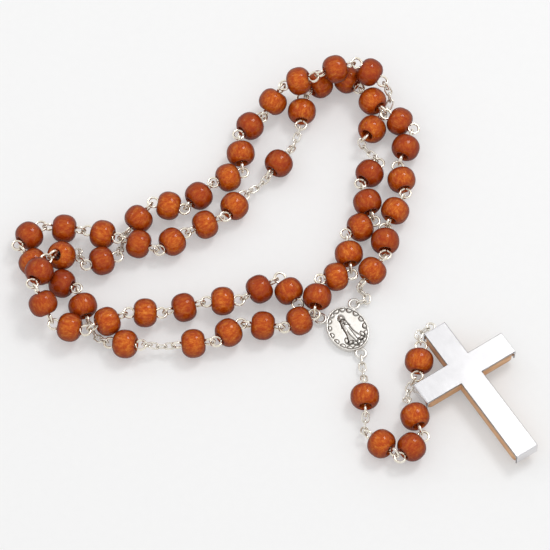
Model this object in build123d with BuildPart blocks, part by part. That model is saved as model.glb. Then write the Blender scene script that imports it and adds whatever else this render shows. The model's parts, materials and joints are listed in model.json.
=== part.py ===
from build123d import *
import math
import os

import numpy as np

# A rosary laid down in a double winding: a loop of five groups of ten wooden beads
# with single beads between them, joined at a medal, and a pendant strand of five
# beads that ends in a cross. Every bead turns on a wire pin with an eye at each end,
# and eyes and chain links hang in one another, flat and upright by turns.
# Millimetres, +Z up, the floor at z = 0.

# ---------------------------------------------------------------- driving sizes
bead_diameter = 7.0
bead_bore = 2.5
bead_mouth = 3.2         # the bore's countersunk opening in each end of a bead
mouth_depth = 0.5
end_land = 0.1           # width of the flat left round the mouth

pin_wire = 0.6
eye_bore = 2.0
eye_seat = 0.8           # from the end of a bead to the middle of the eye outside it
eye_opening = 0.25       # gap where the bent wire ends beside the shank

link_wire = 0.45
link_bore_length = 2.1
link_bore_width = 1.1

ring_clearance = 0.1     # left between two rings that are pulled tight
eye_play = 0.9           # how far two bead eyes can close up from there
link_play = 0.4          # how far a chain link can close up from there
bead_gap = 0.12          # left between beads that lie against each other
floor_gap = 0.02         # left under what lies on the floor
ring_slip = 0.02         # how far rings next but one may pass beside each other
joint_bend = 86          # degrees, the sharpest bend left between joined pieces

medal_width = 10.0
medal_length = 12.4
medal_thickness = 1.4
medal_rim = 1.5          # width of the raised border
medal_rim_height = 0.4
medal_scallops = 17      # half-oval drops round the border
scallop_length = 1.25
scallop_width = 0.75
scallop_height = 0.15
figure_height = 0.35     # how far the standing figure rises over the medal's field
ear_bore = 1.75
ear_rim = 0.7
ear_thickness = 0.6
ear_round = 0.18         # rounding of the ears' bores
ear_height = 1.04        # middle of the ears over the floor
upper_ear_inset = 0.5    # the upper ears' middles inside the medal's sides
upper_ear_drop = 0.7     # and under its top
lower_ear_stand = 0.9    # the lower ear's middle under the medal's foot

cross_height = 39.0
cross_span = 25.5
cross_top_arm = 12.9     # from the crossing to the top end
arm_width = 6.0
core_thickness = 3.0
core_lift = 2.2          # the wood's underside over the floor, held up by the figure
plate_thickness = 0.4
plate_fold = 3.0         # how far the plate's tabs reach down over the ends
plate_joint = 0.02       # glue line between the plate and the wood
plate_bend = 0.35        # outer radius of the folds

eyelet_bore = 1.3
eyelet_wire = 0.6
eyelet_shank = 4.0       # length of the eyelet's pin, in the wood

figure_reach = 8.2       # from the middle of the figure to the nail in each hand
hand_rise = 1.7          # the hands' nails over the crossing
foot_drop = 15.0         # the feet's nail under the crossing
shoulder_half = 0.9      # where the arms start, inside the chest
chest_width = 3.6
head_diameter = 2.1
limb_depth = 1.1         # how far the hands and the feet stand off the wood
arm_taper = (1.3, 0.8)   # diameter of the arms at the shoulder and at the wrist
nail_diameter = 0.5
nail_head = 1.0
nail_head_depth = 0.3
nail_grip = 2.0          # length of the nails in the wood
plaque_width = 4.4
plaque_height = 1.9
plaque_thickness = 0.4
plaque_clear = 1.4       # between the plaque's nail and the end of the eyelet's pin

decade_beads = 10
number_of_links = 4      # chain links between a single bead and a group of ten

# ------------------------------------------------------------- sizes that follow
bead_radius = bead_diameter / 2
bead_half = math.sqrt(bead_radius**2 - (bead_mouth / 2 + end_land) ** 2)
eye_radius = (eye_bore + pin_wire) / 2
pin_half = bead_half + eye_seat
link_radius = (link_bore_width + link_wire) / 2
link_half = (link_bore_length - link_bore_width) / 2
bead_rest = bead_radius + floor_gap
link_rest = link_radius + link_wire / 2 + floor_gap
bead_pitch = 2 * pin_half + eye_bore - eye_play / 2
ear_outer = ear_bore / 2 + ear_rim
ear_side = medal_width / 2 - upper_ear_inset
ear_rise = medal_length / 2 - upper_ear_drop
lower_ear_drop = medal_length / 2 + lower_ear_stand

# ------------------------------------------------------------------ the layout
# Where the strands lie, in millimetres for beads at the drawn pitch, and spread in
# step with the real pitch. Each group of ten has a few of its beads placed, as
# (bead, x, y), and the rest lie between them. A fourth number is the height of a
# bead that rides on the strand under it.
drawn_pitch = 9.3
first_decade = [
    (1, 22.5, -1.5), (3, 29, 15.5), (5, 32, 33.5), (6, 30, 41.5),
    (7, 23.5, 47.5), (8, 18, 53), (9, 11, 52.5), (10, 7.5, 44.5),
]
second_decade = [
    (1, -11, 17), (2, -17.5, 10.5), (4, -33, 6.5), (6, -51, 10),
    (7, -59, 7.5), (8, -61.5, 0.5), (9, -53, -4.5), (10, -48, -9),
]
third_decade = [
    (1, -18.5, -20.5), (2, -11, -17.5), (4, 5, -14), (5, 10.5, -6),
    (6, 15, -1.5), (8, 20.5, 11), (10, 24, 26),
]
fourth_decade = [
    (1, 23, 51.5, 8.5), (2, 15, 53, 9.4), (3, 6.5, 49.5, 8.2), (4, -0.5, 46.5),
    (5, -6, 40), (7, -11.5, 25), (8, -18.5, 20.5), (10, -33, 13.5),
]
fifth_decade = [
    (1, -54, 2.5), (2, -59, -4.5, 7.2), (3, -56, -11), (4, -49, -16),
    (8, -12, -9), (9, -4, -7), (10, 3, -6.5),
]
single_beads = [(1.5, 29), (-35.5, -20.5), (23.5, 40), (-42.5, 0.5)]
pendant_beads = [(21.5, -35.5), (25, -48), (32, -47.5), (33.5, -40), (35.4, -25.4)]
bowed_run = [(26.5, 44), (28.5, 47), (29, 50)]  # the chain that bows out on its way
medal_place = (17.4, -15.4)
medal_turn = 26
cross_place = (45, -28)
cross_turn = 33


class Piece:
    """One pin or chain link: its rings' size and the places of its two ends."""

    def __init__(self, kind, guess, flat):
        self.kind = kind
        self.guess = np.array(guess, float)
        self.flat = flat
        self.half = pin_half if kind == "pin" else link_half
        self.ring = eye_radius if kind == "pin" else link_radius
        self.bore = eye_bore / 2 if kind == "pin" else link_bore_width / 2
        self.play = eye_play if kind == "pin" else link_play
        self.outer = self.ring + (pin_wire if kind == "pin" else link_wire) / 2


class Eye:
    """A fixed flat eye that a strand starts or ends in, on the medal or the cross."""

    def __init__(self, x, y, z, bore):
        self.place = (x, y, z)
        self.bore = bore
        self.play = link_play


def turned(place, turn, x, y):
    """Where the point x, y of a part lies when the part is set at place and turned."""
    a = math.radians(turn)
    return (
        place[0] + x * math.cos(a) - y * math.sin(a),
        place[1] + x * math.sin(a) + y * math.cos(a),
    )


def spread(x, y, z):
    """A drawn place, moved outward or inward to suit the real pitch."""
    return (x * bead_pitch / drawn_pitch, y * bead_pitch / drawn_pitch, z)


def decade(route):
    """The ten beads' places, those left out of the route between their neighbours."""
    placed = np.array([p if len(p) == 4 else (*p, bead_rest) for p in route], float)
    numbers = range(1, decade_beads + 1)
    return [
        spread(*[np.interp(n, placed[:, 0], placed[:, k]) for k in (1, 2, 3)])
        for n in numbers
    ]


def strand(start, stop, runs):
    """The pins and links between two eyes, flat and upright by turns. A run is a list
    of bead places, or a number of links, with places that they pass if they bow out."""
    kinds, known = [], [(-1, start.place)]
    for run in runs:
        if isinstance(run, list):
            known += [(len(kinds) + k, place) for k, place in enumerate(run)]
            kinds += ["pin"] * len(run)
            continue
        count, passing = run if isinstance(run, tuple) else (run, [])
        for k, (x, y) in enumerate(passing):
            place = spread(x, y, link_rest)
            known.append((len(kinds) - 1 + (k + 1) * (count + 1) / (len(passing) + 1), place))
        kinds += ["link"] * count
    known.append((len(kinds), stop.place))
    reach = {"pin": pin_half + eye_bore / 2, "link": link_half + link_bore_width / 2}
    lengths = [start.bore, *(reach[kind] for kind in kinds), stop.bore]
    walked = np.cumsum([0] + [a + b for a, b in zip(lengths, lengths[1:])])
    at = np.interp([k for k, _ in known], range(-1, len(kinds) + 1), walked)
    pieces = []
    for k, kind in enumerate(kinds):
        x, y, z = (np.interp(walked[k + 1], at, [p[axis] for _, p in known]) for axis in range(3))
        pieces.append(Piece(kind, (x, y, link_rest if kind == "link" else z), k % 2 == 1))
    return pieces


def join(a, b):
    """The least and greatest distance between the middles of two joined rings."""
    far = a.bore + b.bore - ring_clearance
    return far - min(a.play, b.play), far


def upward(way):
    """The normal, nearest to straight up, of a flat ring that points along way."""
    side = np.array([-way[1], way[0], 0]) / math.hypot(way[0], way[1])
    return np.cross(way, side)


def seat(start, stop, pieces, at):
    """Gives each piece its middle, its way along and its rings' normal. A flat piece
    lies where it settled. An upright one stands between the flat rings it hangs in:
    each of its rings has its near side in the middle of the flat ring, and swings up
    and down about its own middle."""
    for eye in (start, stop):
        eye.normal = np.array([0.0, 0.0, 1.0])
        eye.rings = (np.array(eye.place), np.array(eye.place))
    for piece in pieces[1::2]:
        first, last = (at[end] for end in piece.ends)
        piece.middle = (first + last) / 2
        piece.way = (last - first) / np.linalg.norm(last - first)
        piece.normal = upward(piece.way)
        piece.rings = (piece.middle - piece.way * piece.half, piece.middle + piece.way * piece.half)
    for k, piece in enumerate(pieces):
        if piece.flat:
            continue
        before = pieces[k - 1] if k else start
        after = pieces[k + 1] if k + 1 < len(pieces) else stop
        a, b = before.rings[1], after.rings[0]
        near_a, far_a = join(before, piece)
        near_b, far_b = join(piece, after)
        piece.way = b - a
        for _ in range(6):
            side = np.cross(before.normal + after.normal, piece.way)
            piece.normal = side / np.linalg.norm(side)
            leave = np.cross(piece.normal, before.normal)
            arrive = np.cross(after.normal, piece.normal)
            leave, arrive = leave / np.linalg.norm(leave), arrive / np.linalg.norm(arrive)
            span = b + arrive * near_b - a - leave * near_a
            change = arrive * (far_b - near_b) - leave * (far_a - near_a)
            along = span @ change
            left = max(along**2 - change @ change * (span @ span - 4 * piece.half**2), 0)
            piece.slack = (-along - math.sqrt(left)) / (change @ change)
            first = a + leave * (near_a + piece.slack * (far_a - near_a))
            last = b + arrive * (near_b + piece.slack * (far_b - near_b))
            piece.way = (last - first) / np.linalg.norm(last - first)
        piece.rings = (first, last)
        piece.middle = (first + last) / 2


def settle(strands, keep_out, walls, rounds=5000):
    """Lays the strands down: every piece keeps its length, rings stay in one another,
    nothing is inside anything else, and all of it comes to rest on the floor."""
    points, held, ties = [], [], []
    joints = []  # a flat ring and its piece's other ring, the upright ring in it and that
    # piece's other ring, the flat rings beyond, and the least and greatest reach

    def add_point(place, hold=False):
        points.append(np.array(place, float))
        held.append(hold)
        return len(points) - 1

    for start, stop, pieces in strands:
        for eye in (start, stop):
            eye.ends = (add_point(eye.place, True),) * 2
        row = [start, *pieces, stop]
        for before, piece, after in zip(row, pieces, row[2:]):
            way = np.subtract(getattr(after, "guess", stop.place), getattr(before, "guess", start.place))
            way = way / np.linalg.norm(way) * piece.half
            piece.ends = (add_point(piece.guess - way), add_point(piece.guess + way))
            ties.append((*piece.ends, 2 * piece.half, 2 * piece.half))
        for before, piece, after in zip(row, pieces, row[2:]):
            if not piece.flat:
                first, last = piece.ends
                joints.append((*before.ends[::-1], first, last, *after.ends, *join(before, piece)))
                joints.append((*after.ends, last, first, *before.ends[::-1], *join(piece, after)))

    for start, stop, row in strands:
        for a, b in zip(row, row[1:]):
            reach = join(a, b)[0] + 2 * b.half
            cosine = math.cos(math.radians(joint_bend))
            low = math.sqrt(4 * a.half**2 + reach**2 + 4 * a.half * reach * cosine)
            ties.append((a.ends[0], b.ends[1], low, 1e9))
        for a, middle, b in zip(row, row[1:], row[2:]):
            if middle.kind == "link":
                ties.append((a.ends[1], b.ends[0], a.outer + b.outer - ring_slip, 1e9))

    pieces = [p for _, _, row in strands for p in row]
    beads = [p for p in pieces if p.kind == "pin"]
    links = [p for p in pieces if p.kind == "link"]
    order = {id(p): k for k, p in enumerate(pieces)}
    rules = [(a, a, b, b, low, high) for a, b, low, high in ties]
    link_reach = link_half + link_radius
    eye_reach = eye_radius + pin_wire / 2
    apart = [
        (beads, beads, 0, 2 * bead_radius + bead_gap),
        (beads, links, 0, bead_radius + link_radius + link_wire),
        (links, links, 1, 2 * link_reach),
    ]
    for first, second, skip, low in apart:
        for a in first:
            for b in second:
                if order[id(a)] < order[id(b)] - skip or first is not second:
                    rules.append((*a.ends, *b.ends, low, 1e9))
    for a in beads:
        for b in pieces:
            if abs(order[id(a)] - order[id(b)]) > 2:
                low = eye_reach + (bead_radius if b.kind == "pin" else link_reach)
                rules += [(end, end, *b.ends, low, 1e9) for end in a.ends]
    for place, bead_room, link_room in keep_out:
        spot = add_point(place, True)
        for piece in pieces:
            low = bead_room if piece.kind == "pin" else link_room
            if np.linalg.norm(piece.guess - place) > link_reach + ear_bore:
                rules.append((*piece.ends, spot, spot, low, 1e9))

    at = np.array(points)
    free = ~np.array(held)
    rules = np.array(rules)
    low, high = rules[:, 4], rules[:, 5]
    ends = rules[:, :4].astype(int)
    ring, other, stood, partner, beyond, end_beyond = np.array([joint[:6] for joint in joints]).T
    near, far = np.array([joint[6:] for joint in joints]).T
    bead_ends = np.array([p.ends for p in beads])
    link_ends = np.array([p.ends for p in links]).ravel()
    guess = np.array([p.guess for p in beads])
    both = [(bead_ends, bead_radius + bead_gap), (link_ends.reshape(-1, 2), link_reach)]
    for turn in range(rounds):
        if turn > 0.9 * rounds and turn % 20 == 0:
            for start, stop, row in strands:
                seat(start, stop, row, at)
                for piece in row:
                    at[piece.ends[0]], at[piece.ends[1]] = piece.rings
        if turn % 100 == 0:
            gap = np.linalg.norm(at[ends[:, :2]].mean(1) - at[ends[:, 2:]].mean(1), axis=1)
            live = (gap < low + 2) | (high < 1e8)
            i, j = ends[live, :2], ends[live, 2:]
            short, long = low[live], high[live]
        pull = 0.04 * max(0.0, 1 - 1.4 * turn / rounds)
        if pull:
            lag = (guess - at[bead_ends].mean(1)) * pull
            for side in (0, 1):
                at[bead_ends[:, side]] += lag
                at[bead_ends[:, side], 2] += (guess[:, 2] - at[bead_ends[:, side], 2]) * pull
            at[link_ends, 2] -= pull * 0.4
        line = at[i].mean(1) - at[j].mean(1)
        size = np.linalg.norm(line, axis=1)
        push = (line / size[:, None]) * ((np.clip(size, short, long) - size) / 2)[:, None]
        busy = np.abs(push).sum(1) > 1e-9
        total = np.zeros_like(at)
        count = np.zeros(len(at))
        for side in (0, 1):
            np.add.at(total, i[busy, side], push[busy])
            np.add.at(total, j[busy, side], -push[busy])
            np.add.at(count, i[busy, side], 1)
            np.add.at(count, j[busy, side], 1)
        at += free[:, None] * 1.2 * total / np.maximum(count, 1)[:, None]
        normals = []
        for tip, tail in ((ring, other), (beyond, end_beyond)):
            way = at[tip] - at[tail]
            way[tip == tail] = (1, 0, 0)
            side = np.column_stack([-way[:, 1], way[:, 0], np.zeros(len(way))])
            normal = np.cross(way, side)
            normals.append(normal / np.linalg.norm(normal, axis=1)[:, None])
        heading = at[beyond] - at[ring]
        stand = at[partner] - at[stood]
        folded = (stand * heading * (1, 1, 0)).sum(1) < 0
        stand[folded] = heading[folded]
        leave = np.cross(np.cross(normals[0] + normals[1], stand), normals[0])
        leave /= np.linalg.norm(leave, axis=1)[:, None]
        reach = np.clip(((at[stood] - at[ring]) * leave).sum(1), near, np.where(folded, near, far))
        off = (at[ring] + reach[:, None] * leave - at[stood]) / 2
        np.add.at(at, stood, off)
        np.add.at(at, ring, -off * free[ring][:, None])
        for place, facing, half_x, half_y in walls:
            across = np.array([turned((0, 0), facing, 1, 0), turned((0, 0), facing, 0, 1)])
            for pair, room in both:
                local = (at[pair].mean(1)[:, :2] - place) @ across.T
                gap = local - np.clip(local, (-half_x, -half_y), (half_x, half_y))
                away = np.maximum(np.linalg.norm(gap, axis=1), 1e-9)
                out = (gap / away[:, None] * np.maximum(room - away, 0)[:, None]) @ across
                for side in (0, 1):
                    at[pair[:, side], :2] += out
        lift = np.maximum(bead_rest - at[bead_ends].mean(1)[:, 2], 0)
        at[bead_ends[:, 0], 2] += lift
        at[bead_ends[:, 1], 2] += lift
        at[link_ends, 2] = np.maximum(at[link_ends, 2], link_rest)
    worst = np.abs(np.clip(size, short, long) - size).max()
    print(f"settled: the worst rule is off by {worst:.4f} mm")
    for row_start, row_stop, row in strands:
        seat(row_start, row_stop, row, at)


def ear(x, y):
    return Eye(*turned(medal_place, medal_turn, x, y), ear_height, ear_bore / 2)


eyelet_radius = (eyelet_bore + eyelet_wire) / 2
eyelet_reach = cross_top_arm + eyelet_radius + eyelet_wire / 2 + ring_clearance
eyelet_height = core_lift + core_thickness / 2
upper_right_ear = ear(ear_side, ear_rise)
upper_left_ear = ear(-ear_side, ear_rise)
lower_ear = ear(0, -lower_ear_drop)
cross_eye = Eye(*turned(cross_place, cross_turn, 0, eyelet_reach), eyelet_height, eyelet_bore / 2)

singles = [[spread(x, y, bead_rest)] for x, y in single_beads]
loop = strand(upper_right_ear, upper_left_ear, [
    4, decade(first_decade), number_of_links, singles[0],
    number_of_links, decade(second_decade), number_of_links, singles[1],
    number_of_links, decade(third_decade), number_of_links, singles[2],
    (6, bowed_run), decade(fourth_decade), number_of_links, singles[3],
    number_of_links, decade(fifth_decade), 3,
])
pend = [(x, y, bead_rest) for x, y in pendant_beads]
pendant = strand(lower_ear, cross_eye, [4, pend[:1], 3, pend[1:4], 4, pend[4:], 3])
medal_end = (medal_length - medal_width) / 2 + 0.2
keep_out = [
    *(((*turned(medal_place, medal_turn, 0, end), 1), medal_width / 2 + bead_radius + 0.1,
       medal_width / 2 + 1.2) for end in (medal_end, -medal_end)),
    *((eye.place, bead_radius + 1.9, link_radius + 1.825)
      for eye in (upper_right_ear, upper_left_ear)),
]
walls = [
    (turned(cross_place, cross_turn, 0, cross_top_arm - cross_height / 2), cross_turn,
     arm_width / 2, cross_height / 2),
    (cross_place, cross_turn, cross_span / 2, arm_width / 2),
]
settle([(upper_right_ear, upper_left_ear, loop), (lower_ear, cross_eye, pendant)], keep_out, walls)


# ------------------------------------------------------------------ small pieces
def place_of(piece):
    """Where a pin or link goes: its own X runs along it and its rings lie in its XY."""
    origin, way, normal = (tuple(map(float, v)) for v in (piece.middle, piece.way, piece.normal))
    return Plane(origin=origin, x_dir=way, z_dir=normal).location


with BuildPart() as bead:
    with BuildSketch():
        with BuildLine():
            land = bead_mouth / 2 + end_land
            ThreePointArc((-bead_half, land), (0, bead_radius), (bead_half, land))
            Polyline(
                (bead_half, land),
                (bead_half, bead_mouth / 2),
                (bead_half - mouth_depth, bead_bore / 2),
                (-bead_half + mouth_depth, bead_bore / 2),
                (-bead_half, bead_mouth / 2),
                (-bead_half, land),
            )
        make_face()
    revolve(axis=Axis.X)

with BuildPart() as pin:
    shank = pin_half - eye_radius
    eye_sweep = 360 - math.degrees((eye_opening + pin_wire / 2) / eye_radius)
    with Locations(Location((0, 0, 0), (0, 90, 0))):
        Cylinder(pin_wire / 2, 2 * shank)
    with Locations((shank, 0, 0), (-shank, 0, 0)):
        Sphere(pin_wire / 2)
    with Locations(Location((pin_half, 0, 0), (0, 0, 180)), Location((-pin_half, 0, 0))):
        Torus(eye_radius, pin_wire / 2, major_angle=eye_sweep)

with BuildPart() as link:
    with BuildLine():
        Line((-link_half, link_radius), (link_half, link_radius))
        CenterArc((link_half, 0), link_radius, 90, -180)
        Line((link_half, -link_radius), (-link_half, -link_radius))
        CenterArc((-link_half, 0), link_radius, 270, -180)
    with BuildSketch(Plane(origin=(-link_half, link_radius, 0), x_dir=(0, 1, 0), z_dir=(1, 0, 0))):
        Circle(link_wire / 2)
    sweep()

# ------------------------------------------------------------------- the medal
with BuildPart() as medal:
    with BuildSketch():
        Ellipse(medal_width / 2, medal_length / 2)
    extrude(amount=medal_thickness)
    fillet(medal.faces().sort_by(Axis.Z)[0].edges(), 0.3)
    with BuildSketch(Plane.XY.offset(medal_thickness)):
        Ellipse(medal_width / 2, medal_length / 2)
        Ellipse(medal_width / 2 - medal_rim, medal_length / 2 - medal_rim, mode=Mode.SUBTRACT)
    extrude(amount=medal_rim_height)
    fillet(medal.faces().sort_by(Axis.Z)[-1].edges(), 0.15)
    top = medal_thickness + medal_rim_height
    rim_x, rim_y = (medal_width - medal_rim) / 2, (medal_length - medal_rim) / 2
    scallops = []
    for k in range(medal_scallops):
        t = 2 * math.pi * (k + 0.5) / medal_scallops
        heading = math.degrees(math.atan2(rim_y * math.cos(t), -rim_x * math.sin(t)))
        scallops.append(Location((rim_x * math.cos(t), rim_y * math.sin(t), top), (0, 0, heading)))
    with BuildSketch(*scallops):
        Ellipse(scallop_length / 2, scallop_width / 2)
    extrude(amount=scallop_height)
    # ears, with short necks into the rim
    with BuildSketch(Plane.XY.offset(ear_height - ear_thickness / 2)):
        for side in (-1, 1):
            with Locations((side * ear_side, ear_rise)):
                Circle(ear_outer)
            with Locations((side * (ear_side - ear_outer * 0.7), ear_rise - ear_outer * 0.8)):
                Circle(ear_outer * 0.6)
        with Locations((0, -lower_ear_drop)):
            Circle(ear_outer)
    extrude(amount=ear_thickness)
    with Locations(
        *[(side * ear_side, ear_rise, ear_height) for side in (-1, 1)],
        (0, -lower_ear_drop, ear_height),
    ):
        Cylinder(ear_bore / 2, 2 * medal_thickness, mode=Mode.SUBTRACT)
    round_edges = medal.edges().filter_by(GeomType.CIRCLE)
    bores = round_edges.filter_by(lambda edge: abs(edge.radius - ear_bore / 2) < 0.001)
    fillet(bores, ear_round)
    # a robed figure standing on a low bank of leaves
    figure_top, figure_foot = 0.3 * medal_length, -0.26 * medal_length
    with BuildSketch(Plane.XY.offset(medal_thickness)):
        with BuildLine():
            Spline((-0.55, figure_top * 0.72), (-0.85, 0.4), (-1.45, figure_foot))
            Line((-1.45, figure_foot), (1.45, figure_foot))
            Spline((1.45, figure_foot), (0.85, 0.4), (0.55, figure_top * 0.72))
            Line((0.55, figure_top * 0.72), (-0.55, figure_top * 0.72))
        make_face()
        with Locations((0, figure_top * 0.86)):
            Ellipse(0.55, 0.7)
    extrude(amount=figure_height)
    with BuildSketch(Plane.XY.offset(medal_thickness)):
        with Locations(*[(0.8 * k, figure_foot - 0.12 * abs(k)) for k in (-2, -1, 0, 1, 2)]):
            Ellipse(0.5, 0.36)
    extrude(amount=figure_height * 0.7)

# -------------------------------------------------------------------- the cross
# The cross lies on its face: the figure is under it and the plain plate on top.
cap = plate_thickness + plate_joint  # what the plate adds to each end
core_top = core_lift + core_thickness
plate_under = core_top + plate_joint
plate_top = plate_under + plate_thickness
top_end, foot_end = cross_top_arm, cross_top_arm - cross_height
figure_back = core_lift - plate_joint
plaque_y = top_end - cap - eyelet_shank - plaque_clear
figure_nails = [(-figure_reach, hand_rise), (figure_reach, hand_rise), (0, -foot_drop)]
nails = [*((x, y, limb_depth) for x, y in figure_nails), (0, plaque_y, plaque_thickness)]

with BuildPart() as cross_core:
    with BuildSketch(Plane.XY.offset(core_lift)):
        with Locations((0, (top_end + foot_end) / 2)):
            Rectangle(arm_width, cross_height - 2 * cap)
        Rectangle(cross_span - 2 * cap, arm_width)
    extrude(amount=core_thickness)
    chamfer(cross_core.faces().sort_by(Axis.Z)[0].edges(), 0.25)
    with Locations(Location((0, top_end - cap, eyelet_height), (-90, 0, 0))):
        Hole(eyelet_wire / 2, eyelet_shank)
    with Locations(*[Location((x, y, core_lift), (180, 0, 0)) for x, y, _ in nails]):
        Hole(nail_diameter / 2, nail_grip)

with BuildPart() as cross_plate:
    with BuildSketch(Plane.XY.offset(plate_under)):
        with Locations((0, (top_end + foot_end) / 2)):
            Rectangle(arm_width, cross_height)
        Rectangle(cross_span, arm_width)
    extrude(amount=plate_thickness)
    # tabs folded down over the four ends
    with BuildSketch(Plane.XY.offset(plate_under)):
        with Locations((0, top_end - plate_thickness / 2), (0, foot_end + plate_thickness / 2)):
            Rectangle(arm_width, plate_thickness)
        side = (cross_span - plate_thickness) / 2
        with Locations((side, 0), (-side, 0)):
            Rectangle(plate_thickness, arm_width)
    extrude(amount=-plate_fold)
    corners = cross_plate.edges().filter_by_position(Axis.Z, plate_top, plate_top)
    crossings = corners.filter_by(Axis.Y).sort_by(Axis.X)
    lengths = corners.filter_by(Axis.X).sort_by(Axis.Y)
    fillet([crossings[0], crossings[-1], lengths[0], lengths[-1]], plate_bend)
    with Locations(Location((0, top_end, eyelet_height), (-90, 0, 0))):
        Hole(eyelet_wire / 2 + ring_clearance, 2 * plate_thickness)

with BuildPart() as cross_eyelet:
    with Locations((0, eyelet_reach, eyelet_height)):
        Torus(eyelet_radius, eyelet_wire / 2)
    neck_end = eyelet_reach - eyelet_radius
    shank_end = top_end - cap - eyelet_shank
    with Locations(Location((0, (neck_end + shank_end) / 2, eyelet_height), (90, 0, 0))):
        Cylinder(eyelet_wire / 2, neck_end - shank_end)

# a plain figure with its arms along the crossbar and its feet together
figure_depth = figure_back - floor_gap
body_sections = [
    # share of the way from the shoulders to the toes, width, depth off the wood
    (0.0, 2.2, 1.2),
    (0.08, chest_width, 1.5),
    (0.20, 3.0, 1.6),
    (0.32, 2.3, 1.4),
    (0.44, 2.9, 1.5),
    (0.64, 2.2, 1.5),
    (0.84, 1.5, 1.0),
    (1.0, 1.3, 0.8),
]
shoulder_y = hand_rise - 1.0
head_y = shoulder_y + 0.4 * head_diameter
body_length = shoulder_y + 0.4 + foot_drop + nail_head

with BuildPart() as cross_figure:
    for share, width, depth in body_sections:
        at = (0, shoulder_y + 0.4 - share * body_length, figure_back)
        with BuildSketch(Plane(origin=at, x_dir=(1, 0, 0), z_dir=(0, -1, 0))):
            Ellipse(width / 2, depth)
    loft(ruled=True)
    for side in (-1, 1):
        shoulder = Vector(side * shoulder_half, shoulder_y, figure_back - limb_depth / 2)
        hand = Vector(side * figure_reach, hand_rise, figure_back - limb_depth / 2)
        arm = Plane(origin=(shoulder + hand) / 2, z_dir=hand - shoulder)
        with Locations(arm.location):
            Cone(arm_taper[0] / 2, arm_taper[1] / 2, (hand - shoulder).length)
        with Locations(hand):
            Sphere(limb_depth / 2)
    with Locations((0, head_y, figure_back - figure_depth + head_diameter / 2)):
        Sphere(head_diameter / 2)
    split(bisect_by=Plane.XY.offset(figure_back), keep=Keep.BOTTOM)
    with Locations(*[(x, y, 0) for x, y in figure_nails]):
        Cylinder(nail_diameter / 2 + plate_joint, 2 * core_lift, mode=Mode.SUBTRACT)

with BuildPart() as cross_plaque:
    with BuildSketch(Plane.XY.offset(figure_back)):
        with Locations((0, plaque_y)):
            Rectangle(plaque_width, plaque_height)
            Circle(nail_diameter / 2 + plate_joint, mode=Mode.SUBTRACT)
    extrude(amount=-plaque_thickness)

with BuildPart() as cross_nails:
    for x, y, depth in nails:
        with Locations((x, y, figure_back - depth - plate_joint)):
            Cylinder(
                nail_diameter / 2,
                core_lift + nail_grip - (figure_back - depth - plate_joint),
                align=(Align.CENTER, Align.CENTER, Align.MIN),
            )
            Cone(
                nail_head / 4,
                nail_head / 2,
                nail_head_depth,
                align=(Align.CENTER, Align.CENTER, Align.MAX),
            )

# ------------------------------------------------------------------ the assembly
medal_at = Location((*medal_place, 0), (0, 0, medal_turn))
cross_at = Location((*cross_place, 0), (0, 0, cross_turn))
layout = [("medal", medal, [medal_at])]
runs = []
for piece in loop:
    if not runs or runs[-1][0].kind != piece.kind:
        runs.append([])
    runs[-1].append(piece)
count = {"loop_chain": 0, "decade": 0, "single": 0}
for run in runs:
    group = "loop_chain" if run[0].kind == "link" else "decade" if len(run) > 1 else "single"
    count[group] += 1
    places = [place_of(piece) for piece in run]
    name = f"{group}_{count[group]}"
    if group == "loop_chain":
        layout.append((name, link, places))
    else:
        layout.append((f"{name}_pins" if len(run) > 1 else f"{name}_pin", pin, places))
        layout.append((f"{name}_beads" if len(run) > 1 else f"{name}_bead", bead, places))
count = {"link": 0, "pin": 0}
for piece in pendant:
    count[piece.kind] += 1
    piece.name = f"pendant_{piece.kind}_{count[piece.kind]}"
    layout.append((piece.name, link if piece.kind == "link" else pin, [place_of(piece)]))
    if piece.kind == "pin":
        layout.append((piece.name.replace("pin", "bead"), bead, [place_of(piece)]))
for name, shape in [
    ("cross_core", cross_core),
    ("cross_plate", cross_plate),
    ("cross_eyelet", cross_eyelet),
    ("cross_figure", cross_figure),
    ("cross_plaque", cross_plaque),
    ("cross_nails", cross_nails),
]:
    layout.append((name, shape, [cross_at]))

# the origin is on the floor, under the middle of the whole layout
boxes = [shape.part.moved(at).bounding_box() for _, shape, places in layout for at in places]
middle_x = (min(box.min.X for box in boxes) + max(box.max.X for box in boxes)) / 2
middle_y = (min(box.min.Y for box in boxes) + max(box.max.Y for box in boxes)) / 2
centred = Location((-middle_x, -middle_y, 0))

os.makedirs("parts", exist_ok=True)
for name, shape, places in layout:
    with BuildPart() as node:
        with Locations(*[centred * at for at in places]):
            add(shape.part)
    node.part.label = name
    export_step(node.part, f"parts/{name}.step")
print(f"{len(layout)} pieces and groups, centred by {-middle_x:.3f}, {-middle_y:.3f} mm")
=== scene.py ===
# %% [markdown]
# # A wooden rosary, finished in Blender
#
# The frame already holds every bead, pin, link and plate in its right place, in
# metres, and it moves with the joints. This lesson keeps the wire parts of that
# frame and gives them metal finishes. The turned, cast and pressed parts are made
# again with more shape than a bare solid has: beads with grain that follows their
# own bore, a cast medal with its relief, a folded plate with softened edges and a
# small cast figure.

# %% Load the frame
import json
import math

import bmesh
import bpy
import numpy as np
from mathutils import Matrix, Vector

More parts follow.
